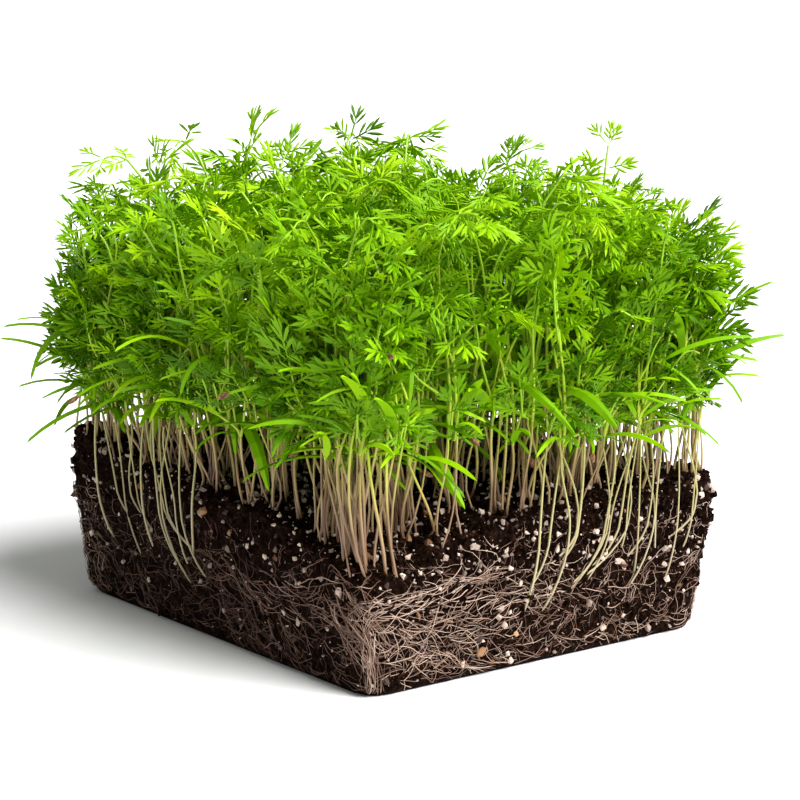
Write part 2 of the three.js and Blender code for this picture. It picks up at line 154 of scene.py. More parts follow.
def plain_piece(worker, name):
    """Makes a plain piece of the part out of an object with modifiers, and removes that object."""
    evaluated = worker.evaluated_get(bpy.context.evaluated_depsgraph_get())
    mesh = bpy.data.meshes.new_from_object(evaluated)
    bpy.data.objects.remove(worker)
    mesh.name = name
    piece = new_object(name, mesh)
    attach(piece, "root")
    return piece


def moist_peat():
    """Moist peat: matt, almost black brown, with lighter fibres and a few damp glints."""
    material, tree = start_material("moist peat")
    place = add(tree, "ShaderNodeTexCoord").outputs["Object"]
    crumbs = add(tree, "ShaderNodeTexNoise", {"Vector": place, "Scale": 1 / (1.6 * MM), "Detail": 5.0})
    fibres = add(tree, "ShaderNodeTexVoronoi", {"Vector": place, "Scale": 1 / (1.2 * MM)})
    brown = ramp(tree, crumbs.outputs["Fac"], (0.36, "#060201"), (0.58, "#170b06"), (0.78, "#352016"))
    fleck = add(tree, "ShaderNodeMapRange", {
        "Value": fibres.outputs["Distance"], "From Min": 0.17, "From Max": 0.06, "To Max": 0.65})
    colour = add(tree, "ShaderNodeMix", {
        "Factor": fleck.outputs[0], "A": brown, "B": linear("#5d4437")}, data_type="RGBA")
    bump = add(tree, "ShaderNodeBump", {
        "Height": crumbs.outputs["Fac"], "Strength": 1.0, "Distance": 0.7 * MM})
    gloss = add(tree, "ShaderNodeMapRange", {"Value": crumbs.outputs["Fac"], "To Min": 0.95, "To Max": 0.6})
    shader = add(tree, "ShaderNodeBsdfPrincipled", {
        "Base Color": colour.outputs["Result"], "Roughness": gloss.outputs[0], "Normal": bump.outputs[0],
        "Specular IOR Level": 0.02})
    add(tree, "ShaderNodeOutputMaterial", {"Surface": shader.outputs[0]})
    return material


def clod_tree():
    """Pushes a surface out into clods and crumbs, less where the tray pressed it and not at all at z 0."""
    tree, given = start_tree(
        "clods", Clod_Size="Float", Clod_Height="Float", Crumb_Size="Float", Crumb_Height="Float",
        Pressed_Below="Float", Loose_Above="Float", Material="Material")
    place = add(tree, "GeometryNodeInputPosition").outputs[0]
    normal = add(tree, "GeometryNodeInputNormal").outputs[0]
    height = add(tree, "ShaderNodeSeparateXYZ", {0: place}).outputs["Z"]
    rises = []
    for size, rise in (("Clod_Size", "Clod_Height"), ("Crumb_Size", "Crumb_Height")):
        scale = add(tree, "ShaderNodeMath", {0: 1.0, 1: given[size]}, operation="DIVIDE")
        cells = add(tree, "ShaderNodeTexVoronoi", {"Vector": place, "Scale": scale.outputs[0]})
        dome = add(tree, "ShaderNodeMath", {0: 0.5, 1: cells.outputs["Distance"]}, operation="SUBTRACT")
        risen = add(tree, "ShaderNodeMath", {0: dome.outputs[0], 1: given[rise]}, operation="MULTIPLY")
        rises.append(risen.outputs[0])
    both = add(tree, "ShaderNodeMath", {0: rises[0], 1: rises[1]}, operation="ADD")
    loose = add(tree, "ShaderNodeMapRange", {
        "Value": height, "From Min": given["Pressed_Below"], "From Max": given["Loose_Above"],
        "To Min": PRESSED_SHARE})
    footing = add(tree, "ShaderNodeMapRange", {
        "Value": height, "From Min": FLAT_BELOW, "From Max": FOOTING_HEIGHT})
    share = add(tree, "ShaderNodeMath", {0: loose.outputs[0], 1: footing.outputs[0]}, operation="MULTIPLY")
    push = add(tree, "ShaderNodeMath", {0: both.outputs[0], 1: share.outputs[0]}, operation="MULTIPLY")
    offset = add(tree, "ShaderNodeVectorMath", {0: normal, "Scale": push.outputs[0]}, operation="SCALE")
    moved = add(tree, "GeometryNodeSetPosition", {0: given["Geometry"], "Offset": offset.outputs[0]})
    smooth = add(tree, "GeometryNodeSetShadeSmooth", {0: moved.outputs[0]})
    end_tree(tree, smooth.outputs[0], given["Material"])
    return tree


def foot_of(node):
    """Where a tuft stands on the soil: above the middle of its lowest corners."""
    points = np.array([v.co for v in frame["nodes"][node].data.vertices])
    lowest = points[:, 2].min()
    x, y = points[points[:, 2] < lowest + 0.5 * MM, :2].mean(axis=0)
    return Vector((x, y, lowest + SOCKET_DEPTH))


tuft_nodes = sorted(name for name in frame["nodes"] if name.startswith("seedlings_"))
tuft_feet = {node: foot_of(node) for node in tuft_nodes}


def soil_start():
    """The solid's surface as one mesh, with a plug of soil in each hole that a tuft stands in."""
    shape = bmesh.new()
    shape.from_mesh(frame["nodes"]["soil_block"].data)
    bmesh.ops.remove_doubles(shape, verts=shape.verts, dist=0.001 * MM)
    for foot in tuft_feet.values():
        tall = SOCKET_DEPTH + 1 * MM
        size = Matrix.Diagonal((SOCKET_WIDTH, SOCKET_WIDTH, tall, 1))
        bmesh.ops.create_cube(shape, matrix=Matrix.Translation(foot - Vector((0, 0, tall / 2))) @ size)
    mesh = bpy.data.meshes.new("soil start")
    shape.to_mesh(mesh)
    shape.free()
    return mesh


soil_worker = new_object("soil worker", soil_start())
remesh = soil_worker.modifiers.new("one skin", "REMESH")
remesh.mode = "VOXEL"
remesh.voxel_size = SOIL_GRAIN
run_tree(
    soil_worker, clod_tree(), Clod_Size=CLOD_SIZE, Clod_Height=CLOD_HEIGHT, Crumb_Size=CRUMB_SIZE,
    Crumb_Height=CRUMB_HEIGHT, Pressed_Below=PRESSED_BELOW, Loose_Above=LOOSE_ABOVE, Material=moist_peat())
soil = plain_piece(soil_worker, "soil")
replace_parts(soil, "soil_block")


# Crumbs, perlite and bark in the soil. Loose dark crumbs stand out of the surface, white grains of perlite
# show all over it, most in the loose soil above the roots, and a few tan chips of bark lie between them.
GRAIN_LOWEST = 2.5 * MM
# Share of grains kept on the left wall: painted shade, fewer pale grains where that wall faces away from
# the key light
LEFT_WALL_SHADE_SHARE = 0.45
LARGE_GRAIN_RARITY = 2.6
FULL_TURN = (6.28, 6.28, 6.28)
# Grains to a square millimetre of pressed and of loose soil, their radius in millimetres, and the share of
# the radius that their middles stand off the surface
GRAIN_KINDS = (
    dict(name="soil_crumbs", seed=3, low=0.06, high=0.2, least=0.4, most=1.5, sink=0.0),
    dict(name="perlite", seed=11, low=0.07, high=0.2, least=0.2, most=1.15, sink=0.1),
    dict(name="bark_chips", seed=23, low=0.0008, high=0.0025, least=0.9, most=2.0, sink=0.2),
)


def grain_material(name, dark, pale):
    """Dry mineral or bark: matt, between a stained and a clean colour."""
    material, tree = start_material(name)
    tone = add(tree, "ShaderNodeAttribute", attribute_name="tone").outputs["Fac"]
    shader = add(tree, "ShaderNodeBsdfPrincipled", {
        "Base Color": ramp(tree, tone, (0.2, dark), (1.0, pale)), "Roughness": 0.85})
    add(tree, "ShaderNodeOutputMaterial", {"Surface": shader.outputs[0]})
    return material


def grain_tree():
    """Scatters half-sunk angular grains over soil, more where it is loose, and fewer on the left wall as
    painted shade.
    """
    tree, given = start_tree(
        "grains", Density_Low="Float", Density_High="Float", Least="Float", Most="Float", Sink="Float",
        Seed="Int", Material="Material")
    place = add(tree, "GeometryNodeInputPosition").outputs[0]
    height = add(tree, "ShaderNodeSeparateXYZ", {0: place}).outputs["Z"]
    density = add(tree, "ShaderNodeMapRange", {
        "Value": height, "From Min": PRESSED_BELOW, "From Max": LOOSE_ABOVE,
        "To Min": given["Density_Low"], "To Max": given["Density_High"]})
    normal = add(tree, "GeometryNodeInputNormal").outputs[0]
    facing_x = add(tree, "ShaderNodeSeparateXYZ", {0: normal}).outputs["X"]
    # Painted shade: grains are thinned on the wall that faces away from the key light, which darkens it
    left_shade_share = add(tree, "ShaderNodeMapRange", {
        "Value": facing_x, "From Min": -0.9, "From Max": -0.4, "To Min": LEFT_WALL_SHADE_SHARE, "To Max": 1.0})
    thinned = add(
        tree, "ShaderNodeMath", {0: density.outputs[0], 1: left_shade_share.outputs[0]}, operation="MULTIPLY")
    off_floor = add(tree, "FunctionNodeCompare", {0: height, 1: GRAIN_LOWEST}, operation="GREATER_THAN")
    spots = add(tree, "GeometryNodeDistributePointsOnFaces", {
        "Mesh": given["Geometry"], "Selection": off_floor.outputs[0], "Density": thinned.outputs[0],
        "Seed": given["Seed"]})
    chance = add(tree, "FunctionNodeRandomValue", {"Seed": 1})
    rare = add(
        tree, "ShaderNodeMath", {0: chance.outputs["Value"], 1: LARGE_GRAIN_RARITY}, operation="POWER")
    size = add(tree, "ShaderNodeMapRange", {
        "Value": rare.outputs[0], "To Min": given["Least"], "To Max": given["Most"]})
    depth = add(tree, "ShaderNodeMath", {0: size.outputs[0], 1: given["Sink"]}, operation="MULTIPLY")
    out = add(tree, "ShaderNodeVectorMath", {0: spots.outputs["Normal"], "Scale": depth.outputs[0]},
              operation="SCALE")
    sunk = add(tree, "GeometryNodeSetPosition", {0: spots.outputs["Points"], "Offset": out.outputs[0]})
    tone = add(tree, "FunctionNodeRandomValue", {"Seed": 2})
    toned = add(tree, "GeometryNodeStoreNamedAttribute", {
        0: sunk.outputs[0], "Name": "tone", "Value": tone.outputs["Value"]})
    turn = add(tree, "FunctionNodeRandomValue", {"Max": FULL_TURN, "Seed": 3}, data_type="FLOAT_VECTOR")
    stretch = add(tree, "FunctionNodeRandomValue", {
        "Min": (0.7, 0.5, 0.35), "Max": (1.5, 1.0, 0.9), "Seed": 4}, data_type="FLOAT_VECTOR")
    scale = add(tree, "ShaderNodeVectorMath", {0: stretch.outputs["Value"], "Scale": size.outputs[0]},
                operation="SCALE")
    ball = add(tree, "GeometryNodeMeshIcoSphere", {"Radius": 1.0, "Subdivisions": 1})
    dent = add(tree, "FunctionNodeRandomValue", {
        "Min": (-0.4, -0.4, -0.4), "Max": (0.4, 0.4, 0.4), "Seed": 5}, data_type="FLOAT_VECTOR")
    grain = add(tree, "GeometryNodeSetPosition", {0: ball.outputs[0], "Offset": dent.outputs["Value"]})
    placed = add(tree, "GeometryNodeInstanceOnPoints", {
        0: toned.outputs[0], "Instance": grain.outputs[0], "Rotation": turn.outputs["Value"],
        "Scale": scale.outputs[0]})
    end_tree(tree, placed.outputs[0], given["Material"])
    return tree


grain_materials = dict(
    soil_crumbs=soil.data.materials[0],
    perlite=grain_material("expanded perlite", "#3a261f", "#e2c9b8"),
    bark_chips=grain_material("pine bark", "#5e3820", "#bd9164"))
grains = grain_tree()
for kind in GRAIN_KINDS:
    grain_worker = new_object("grain worker", soil.data.copy())
    run_tree(
        grain_worker, grains, Density_Low=kind["low"] / MM**2, Density_High=kind["high"] / MM**2,
        Least=kind["least"] * MM, Most=kind["most"] * MM, Sink=kind["sink"], Seed=kind["seed"],
        Material=grain_materials[kind["name"]])
    plain_piece(grain_worker, kind["name"])


# Root mats. Fine pale roots that grew along the tray's walls and stayed pressed on the soil's four sides.
# They run level beside the near corner, gather in a cord down it, and curl short and loose further away.
ROOT_STEP = 1.4 * MM
ROOT_SIDES = 3
BUNDLE_GAP = 4.5 * MM
BUNDLE_SPREAD = 0.9 * MM
DIP_RATE = 0.55
SWERVE_KEPT = 0.7
STEERING = 0.2
ROOT_TAPER = 0.55
OUTLINE_RADIUS = 6 * MM
RAY_START = 15 * MM
ROOT_LOWEST = 0.6 * MM
ROOTS_BELOW_TOP = 8 * MM
soil_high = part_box("soil_block")[1]
core_x = soil_high.x - OUTLINE_RADIUS
core_y = soil_high.y - OUTLINE_RADIUS
corner_length = math.pi * OUTLINE_RADIUS / 2
soil_surface = BVHTree.FromPolygons(
    [v.co.copy() for v in soil.data.vertices], [tuple(p.vertices) for p in soil.data.polygons])
# Each corner's middle and the length of the straight side after it, from the near corner along the front
CORNERS = (
    ((-core_x, -core_y), 2 * core_x), ((core_x, -core_y), 2 * core_y),
    ((core_x, core_y), 2 * core_x), ((-core_x, core_y), 2 * core_y))
girth = 4 * (core_x + core_y + corner_length)


def outline_at(run):
    """A point of the block's rounded outline and the way out there, some way round from the near corner."""
    left = (run + corner_length / 2) % girth
    for index, ((x, y), straight) in enumerate(CORNERS):
        angle = math.pi + index * math.pi / 2 + min(left / corner_length, 1) * math.pi / 2
        out = Vector((math.cos(angle), math.sin(angle), 0))
        if left <= corner_length + straight:
            along = Vector((-out.y, out.x, 0)) * max(left - corner_length, 0)
            return Vector((x, y, 0)) + out * OUTLINE_RADIUS + along, out
        left -= corner_length + straight


def on_wall(run, height, lift):
    """A point a little off the soil's side."""
    spot, out = outline_at(run)
    spot = spot + out * RAY_START
    spot.z = height
    hit = soil_surface.ray_cast(spot, -out, 4 * RAY_START)[0]
    return np.array((hit if hit else spot - out * RAY_START) + out * lift)


def root_path(rng, start, course, length, lift, curl):
    """A root that keeps to a course on the wall, wanders about it, and dips in and out of the soil."""
    run, height = start
    heading = course(run, height) + rng.normal(0, 0.3)
    swerve = 0.0
    phase = rng.uniform(0, 6.28)
    points = []
    for step in range(int(length / ROOT_STEP) + 2):
        if not ROOT_LOWEST < height < soil_high.z - ROOTS_BELOW_TOP:
            break
        dip = lift * (0.3 + 0.9 * math.sin(phase + DIP_RATE * step))
        points.append(on_wall(run, height, dip))
        swerve = SWERVE_KEPT * swerve + rng.normal(0, curl)
        turn = (course(run, height) - heading + math.pi) % (2 * math.pi) - math.pi
        heading += STEERING * turn + swerve
        run += ROOT_STEP * math.cos(heading)
        height += ROOT_STEP * math.sin(heading)
    return np.array(points)


def sprig_mesh(name, threads, blades=()):
    """Threads as bare edges and blades as loose points, with what each point knows kept as attributes."""
    edges = []
    places = []
    columns = dict(radius=[], tone=[], size=[], blade=[], turn=[])
    for thread in threads:
        start, count = len(places), len(thread["points"])
        edges += [(start + i, start + i + 1) for i in range(count - 1)]
        places += thread["points"].tolist()
        columns["radius"] += np.broadcast_to(thread["radius"], count).tolist()
        columns["tone"] += np.broadcast_to(thread["tone"], count).tolist()
    for label, empty in (("size", 0.0), ("blade", 0), ("turn", (0.0, 0.0, 0.0))):
        columns[label] = [empty] * len(places) + [blade[label] for blade in blades]
    columns["radius"] += [0.0] * len(blades)
    columns["tone"] += [blade["tone"] for blade in blades]
    places += [blade["at"].tolist() for blade in blades]
    mesh = bpy.data.meshes.new(name)
    mesh.from_pydata(places, edges, [])
    for label, values in columns.items():
        kind = {"blade": "INT", "turn": "FLOAT_VECTOR"}.get(label, "FLOAT")
        field = "vector" if label == "turn" else "value"
        numbers = np.array(values, np.int32 if kind == "INT" else np.float32).ravel()
        mesh.attributes.new(label, kind, "POINT").data.foreach_set(field, numbers)
    return mesh


def thread_tree():
    """Turns bare edges into closed tubes of their own radius."""
    tree, given = start_tree("threads", Sides="Int", Material="Material")
    curve = add(tree, "GeometryNodeMeshToCurve", {0: given["Geometry"]})
    radius = add(tree, "GeometryNodeInputNamedAttribute", {"Name": "radius"})
    ring = add(tree, "GeometryNodeCurvePrimitiveCircle", {"Resolution": given["Sides"], "Radius": 1.0})
    tube = add(tree, "GeometryNodeCurveToMesh", {
        0: curve.outputs[0], "Profile Curve": ring.outputs[0], "Scale": radius.outputs[0],
        "Fill Caps": True})
    smooth = add(tree, "GeometryNodeSetShadeSmooth", {0: tube.outputs[0]})
    end_tree(tree, smooth.outputs[0], given["Material"])
    return tree


def fine_roots():
    """Living roots: cream to tan, matt."""
    material, tree = start_material("fine roots")
    tone = add(tree, "ShaderNodeAttribute", attribute_name="tone").outputs["Fac"]
    colour = ramp(tree, tone, (0.0, "#2a1811"), (0.5, "#7f5d4c"), (1.0, "#d8bda9"))
    shader = add(tree, "ShaderNodeBsdfPrincipled", {"Base Color": colour, "Roughness": 0.7})
    add(tree, "ShaderNodeOutputMaterial", {"Surface": shader.outputs[0]})
    return material


# The courses that roots keep to: the heading at a place on the wall, in radians up from level
def level(run, height):
    return 0.35 * math.sin(run / (9 * MM) + height / (5 * MM)) - 0.1


def to_corner(run, height):
    return math.pi + 0.35 * math.sin(run / (12 * MM)) if run > 4 * MM else -math.pi / 2


def over_corner(run, height):
    return -0.75 if run < 1 * MM else -math.pi / 2


def from_left(run, height):
    return -0.25 + 0.6 * math.sin(run / (14 * MM) + height / (8 * MM))


def any_way(run, height):
    return 40 * math.sin(run / MM) * math.sin(height / (0.37 * MM) + 1)


# Groups of roots on each wall: how many, the course they keep to and how much they curl, then the ranges of
# their start along the wall and up it, their length and their radius in millimetres, and their tone
ROOT_GROUPS = {
    "front": (
        (60, level, 0.14, (1, 54), (1.5, 27), (16, 46), (0.05, 0.12), (0.2, 0.6)),
        (75, level, 0.12, (1, 46), (5, 28), (16, 44), (0.06, 0.16), (0.65, 1.0)),
        (40, to_corner, 0.1, (6, 44), (23, 29), (14, 44), (0.07, 0.15), (0.45, 1.0)),
        (560, any_way, 0.38, (14, 126), (1.5, 37), (3, 10), (0.045, 0.11), (0.25, 1.0)),
        (60, level, 0.18, (50, 120), (1, 24), (12, 34), (0.06, 0.13), (0.3, 0.85)),
        (70, level, 0.2, (1, 126), (0.8, 4), (8, 26), (0.06, 0.15), (0.4, 0.95)),
    ),
    # The left wall's roots have darker tones than the other walls': painted shade, as that wall faces away
    # from the key light
    "left": (
        (170, from_left, 0.14, (-145, -2), (1.5, 27), (16, 50), (0.05, 0.14), (0.1, 0.6)),
        (380, any_way, 0.34, (-152, -4), (1.5, 33), (4, 14), (0.05, 0.12), (0.05, 0.5)),
        (46, level, 0.1, (-80, -8), (17, 29), (20, 55), (0.06, 0.15), (0.4, 0.85)),
        (50, level, 0.22, (-150, -2), (0.8, 4), (8, 26), (0.06, 0.15), (0.2, 0.7)),
        (50, over_corner, 0.07, (-18, 1), (17, 29), (16, 40), (0.07, 0.17), (0.35, 0.85)),
    ),
    "right": (
        (190, level, 0.14, (132, 284), (1.5, 27), (14, 46), (0.05, 0.15), (0.25, 0.9)),
        (480, any_way, 0.34, (130, 286), (1.5, 34), (4, 14), (0.05, 0.12), (0.2, 0.9)),
    ),
    "back": (
        (170, from_left, 0.14, (288, 412), (1.5, 27), (14, 46), (0.05, 0.15), (0.25, 0.9)),
        (420, any_way, 0.34, (286, 414), (1.5, 34), (4, 14), (0.05, 0.12), (0.2, 0.9)),
    ),
}
root_material = fine_roots()
threads_to_tubes = thread_tree()
for wall_index, (wall, groups) in enumerate(ROOT_GROUPS.items()):
    rng = np.random.default_rng(50 + wall_index)
    strands = []
    for count, course, curl, runs, heights, lengths, radii, tones in groups:
        for _ in range(count):
            run, height = rng.uniform(*runs) * MM, rng.uniform(*heights) * MM
            if course is not any_way:
                height = BUNDLE_GAP * round(height / BUNDLE_GAP) + rng.normal(0, BUNDLE_SPREAD)
            start = (run, height)
            length = rng.uniform(*lengths) * MM
            path = root_path(rng, start, course, length, rng.uniform(0.3, 0.9) * MM, curl)
            if len(path) > 2:
                radius = rng.uniform(*radii) * MM * np.linspace(1, ROOT_TAPER, len(path))
                strands.append(dict(points=path, radius=radius, tone=rng.uniform(*tones)))
    root_worker = new_object("root worker", sprig_mesh("roots", strands))
    run_tree(root_worker, threads_to_tubes, Sides=ROOT_SIDES, Material=root_material)
    root_mat = plain_piece(root_worker, "root_mat_" + wall)
    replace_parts(root_mat, "root_net_" + wall)


# Seedlings. Each has one pale stem in the soil, two strap-shaped seed leaves where it turns green, and
# feathery leaves on thin stalks above them. They stand in small clumps about the spots where the solids
# have a tuft.
RIM_SEEDLINGS = 24
INNER_SEEDLINGS = 13
MOST_LEAVES = 2
CLUMPS_ROUND_TUFT = 9
CELL_HALF = 10.5 * MM
CLUMP_SPREAD = 2.2 * MM
RIM_TUFT = 0.75
RIM_LIMIT = 0.95
FACING_OUT = 0.5
ROOTED_DEPTH = 3 * MM
SKY_HEIGHT = 200 * MM
STEM_RADIUS = 0.42 * MM
STEM_SIDES = 4
STEM_POINTS = 8
STEM_GREEN_FROM = 41 * MM
STEM_GREEN_OVER = 43 * MM
STEM_GREEN_MOST = 0.62
BARE_GREEN_FROM = 30 * MM
BARE_GREEN_OVER = 40 * MM
BARE_TONES = 0.1
BARE_THINNING = 0.85
STALK_RADIUS = 0.48 * MM
CROWN_HEIGHT = 72 * MM
CROWN_MARGIN = 9 * MM
LEAF_LOWEST = 67 * MM
CANOPY_TOP = 121.5 * MM
CANOPY_HEAP = 16 * MM
HEAP_PLACE = (-4 * MM, 45 * MM)
HEAP_SPREAD = 34 * MM
CORNER_DROP = 5 * MM
CANOPY_TILT = 7 * MM
CANOPY_WAVE = 5 * MM
CANOPY_BUMP = 8 * MM
CANOPY_MARGIN = 12 * MM
CANOPY_POWER = 5
LEAFLET_LENGTH = 12 * MM
LOBE_WIDTH = 0.082
END_LOBE_WIDTH = 0.088
LOBE_THICKNESS = 0.03
RACHIS_LENGTH = 4.5 * MM
RACHIS_STEPS = 3
# Leaves are toned darker below this height and paler over the span above it: painted shade low in the
# canopy and painted light on its top
LEAF_SHADED_BELOW = 78 * MM
LEAF_LIT_OVER = 50 * MM
LEAST_TIP_RISE = 3 * MM
NODDING_SHARE = 0.3
STRAP_LENGTH = 23 * MM
STRAP_RINGS = 7
STRAP_RIB = 0.022
TALL_SHARE = 0.1
SHOOT_PITCH = 1.35
SHOOT_DROOP = 0.1
HUSK_SHARE = 0.06
HUSK_LENGTH = 4 * MM
# Tips of the shoots that stand out above the rest, in millimetres
TALL_SHOOTS = ((-22, 37, 152), (2, 20, 149), (57, -32, 145), (-44, 52, 143))
LEAFLET_KINDS = 8
STRAP_KINDS = 7
UP = np.array((0.0, 0.0, 1.0))


def add_lobe(points, faces, start, along, side, up, length, width, thick, bend):
    """Adds a narrow pointed blade with a raised rib: two three-cornered rings between two points."""
    first = len(points)
    points.append(start)
    for share, full in ((0.3, 0.8), (0.68, 1.0)):
        middle = start + along * (length * share) - up * (bend * share * share)
        half = side * (width * full / 2)
        points.extend((middle - half, middle + half, middle + up * thick))
    points.append(start + along * length - up * bend)
    a, b, last = first + 1, first + 4, first + 7
    faces.extend(((first, a + 1, a), (first, a + 2, a + 1), (first, a, a + 2)))
    for i, j in ((0, 1), (1, 2), (2, 0)):
        faces.append((a + i, a + j, b + j, b + i))
    faces.extend(((last, b, b + 1), (last, b + 1, b + 2), (last, b + 2, b)))


def mesh_object(name, points, faces):
    """A shape to copy, as an object that is not in the scene."""
    mesh = bpy.data.meshes.new(name)
    mesh.from_pydata([tuple(p) for p in points], [], faces)
    return bpy.data.objects.new(name, mesh)


def leaflet_shape(name, rng):
    """One leaflet a unit long: a bare rib that ends in a fan of short narrow lobes."""
    points = []
    faces = []
    x_axis, y_axis, z_axis = np.eye(3)
    add_lobe(points, faces, np.zeros(3), x_axis, y_axis, z_axis, 0.58, 0.05, 0.04, 0.0)
    add_lobe(
        points, faces, x_axis * 0.45, x_axis, y_axis, z_axis, 0.55, END_LOBE_WIDTH, LOBE_THICKNESS, 0.06)
    pairs = ((0.24, 0.8, 0.42), (0.4, 0.62, 0.5), (0.55, 0.36, 0.42))
    for at, angle, length in pairs[int(rng.integers(0, 2)):]:
        for hand in (-1, 1):
            turn = hand * (angle + rng.uniform(-0.15, 0.15))
            along = np.array((math.cos(turn), math.sin(turn), rng.uniform(-0.2, 0.2)))
            along /= np.linalg.norm(along)
            side = np.cross(z_axis, along)
            side /= np.linalg.norm(side)
            up = np.cross(along, side)
            long = length * rng.uniform(0.8, 1.15)
            bend = rng.uniform(-0.02, 0.08)
            add_lobe(points, faces, x_axis * at, along, side, up, long, LOBE_WIDTH, LOBE_THICKNESS, bend)
    return mesh_object(name, points, faces)


def strap_shape(name, rng):
    """One seed leaf a unit long: a strap that rises and arches over to a blunt tip, with a raised rib."""
    points = [np.zeros(3)]
    faces = []
    place = np.zeros(3)
    pitch = rng.uniform(0.2, 0.8)
    droop = rng.uniform(0.5, 1.6)
    sway = rng.uniform(-0.3, 0.3)
    broad = rng.uniform(0.08, 0.13)
    for ring in range(STRAP_RINGS):
        share = (ring + 1) / (STRAP_RINGS + 0.4)
        slope = pitch - droop * share
        step = np.array((math.cos(slope), sway * share, math.sin(slope))) / (STRAP_RINGS + 0.4)
        place = place + step
        width = broad * math.sin(math.pi * (0.12 + 0.85 * share)) ** 0.75
        lift = np.array((-math.sin(slope), 0, math.cos(slope))) * STRAP_RIB
        half = np.array((0, width / 2, 0))
        points.extend((place - half, place + half, place + lift))
    points.append(place + 0.4 * step)
    last = len(points) - 1
    faces.extend(((0, 2, 1), (0, 3, 2), (0, 1, 3)))
    for ring in range(STRAP_RINGS - 1):
        a, b = 1 + 3 * ring, 4 + 3 * ring
        for i, j in ((0, 1), (1, 2), (2, 0)):
            faces.append((a + i, a + j, b + j, b + i))
    b = last - 3
    faces.extend(((last, b, b + 1), (last, b + 1, b + 2), (last, b + 2, b)))
    return mesh_object(name, points, faces)


blade_shapes = bpy.data.collections.new("blade shapes")
bpy.context.scene.collection.children.link(blade_shapes)
blade_rng = np.random.default_rng(5)
for number in range(LEAFLET_KINDS):
    blade_shapes.objects.link(leaflet_shape(f"blade_{number:02d}", blade_rng))
for number in range(STRAP_KINDS):
    blade_shapes.objects.link(strap_shape(f"blade_{LEAFLET_KINDS + number:02d}", blade_rng))


def seedling_stem():
    """Seedling stems: satin, tan or pink by the soil, yellow-green by the leaves, dull tan where bare."""
    material, tree = start_material("seedling stem")
    tone = add(tree, "ShaderNodeAttribute", attribute_name="tone").outputs["Fac"]
    green = ramp(
        tree, tone, (0.0, "#93745c"), (0.22, "#ab9269"), (0.45, "#b9ab58"), (0.62, "#b0c233"),
        (0.85, "#93c410"), (0.9, "#a9a848"), (1.0, "#b3a580"))
    place = add(tree, "ShaderNodeTexCoord").outputs["Object"]
    flat = add(tree, "ShaderNodeMapping", {"Vector": place, "Scale": (1.0, 1.0, 0.05)})
    patches = add(tree, "ShaderNodeTexNoise", {
        "Vector": flat.outputs[0], "Scale": 1 / (3 * MM), "Detail": 1.0})
    shade = ramp(tree, patches.outputs["Fac"], (0.3, "#94776f"), (0.48, "#ece6d8"), (0.65, "#ffffff"))
    low = add(tree, "ShaderNodeMapRange", {"Value": tone, "From Min": 0.7, "From Max": 0.3})
    colour = add(tree, "ShaderNodeMix", {"Factor": low.outputs[0], "A": green, "B": shade},
                 data_type="RGBA", blend_type="MULTIPLY")
    shader = add(tree, "ShaderNodeBsdfPrincipled", {
        "Base Color": colour.outputs["Result"], "Roughness": 0.42})
    add(tree, "ShaderNodeOutputMaterial", {"Surface": shader.outputs[0]})
    return material


def fresh_leaf():
    """Thin fresh leaves: satin yellow-green, with painted shade making low leaves darker and painted light
    making top leaves brighter, and lit through from behind.
    """
    material, tree = start_material("fresh leaf")
    tone = add(tree, "ShaderNodeAttribute", attribute_name="tone").outputs["Fac"]
    colour = ramp(tree, tone, (0.0, "#4f8000"), (0.4, "#82b902"), (0.75, "#a6d406"), (1.0, "#b9da12"))
    shader = add(tree, "ShaderNodeBsdfPrincipled", {
        "Base Color": colour, "Roughness": 0.5, "Specular IOR Level": 0.15})
    through = add(tree, "ShaderNodeBsdfTranslucent", {"Color": colour})
    both = add(tree, "ShaderNodeMixShader", {0: 0.24, 1: shader.outputs[0], 2: through.outputs[0]})
    add(tree, "ShaderNodeOutputMaterial", {"Surface": both.outputs[0]})
    return material


def seedling_tree():
    """Stems and stalks as tubes, and a leaflet or seed leaf on each loose point, turned and sized by it."""
    tree, given = start_tree(
        "seedlings", Sides="Int", Blades="Collection", Stem_Material="Material", Material="Material")
    tubes = add(tree, "GeometryNodeGroup", node_tree=threads_to_tubes)
    for key, name in ((0, "Geometry"), (1, "Sides"), (2, "Stem_Material")):
        tree.links.new(given[name], tubes.inputs[key])
    read = {}
    for label, kind in (("blade", "INT"), ("turn", "FLOAT_VECTOR"), ("size", "FLOAT")):
        read[label] = add(
            tree, "GeometryNodeInputNamedAttribute", {"Name": label}, data_type=kind).outputs[0]
    loose = add(tree, "ShaderNodeMath", {0: read["size"], 1: 0.0}, operation="GREATER_THAN")
    shapes = add(tree, "GeometryNodeCollectionInfo", {
        "Collection": given["Blades"], "Separate Children": True, "Reset Children": True})
    turn = add(tree, "FunctionNodeEulerToRotation", {0: read["turn"]})
    placed = add(tree, "GeometryNodeInstanceOnPoints", {
        0: given["Geometry"], "Selection": loose.outputs[0], "Instance": shapes.outputs[0],
        "Pick Instance": True, "Instance Index": read["blade"], "Rotation": turn.outputs[0],
        "Scale": read["size"]})
    real = add(tree, "GeometryNodeRealizeInstances", {0: placed.outputs[0]})
    leaves = add(tree, "GeometryNodeSetMaterial", {0: real.outputs[0], "Material": given["Material"]})
    joined = add(tree, "GeometryNodeJoinGeometry")
    tree.links.new(tubes.outputs[0], joined.inputs[0])
    tree.links.new(leaves.outputs[0], joined.inputs[0])
    add(tree, "NodeGroupOutput", {0: joined.outputs[0]})
    return tree


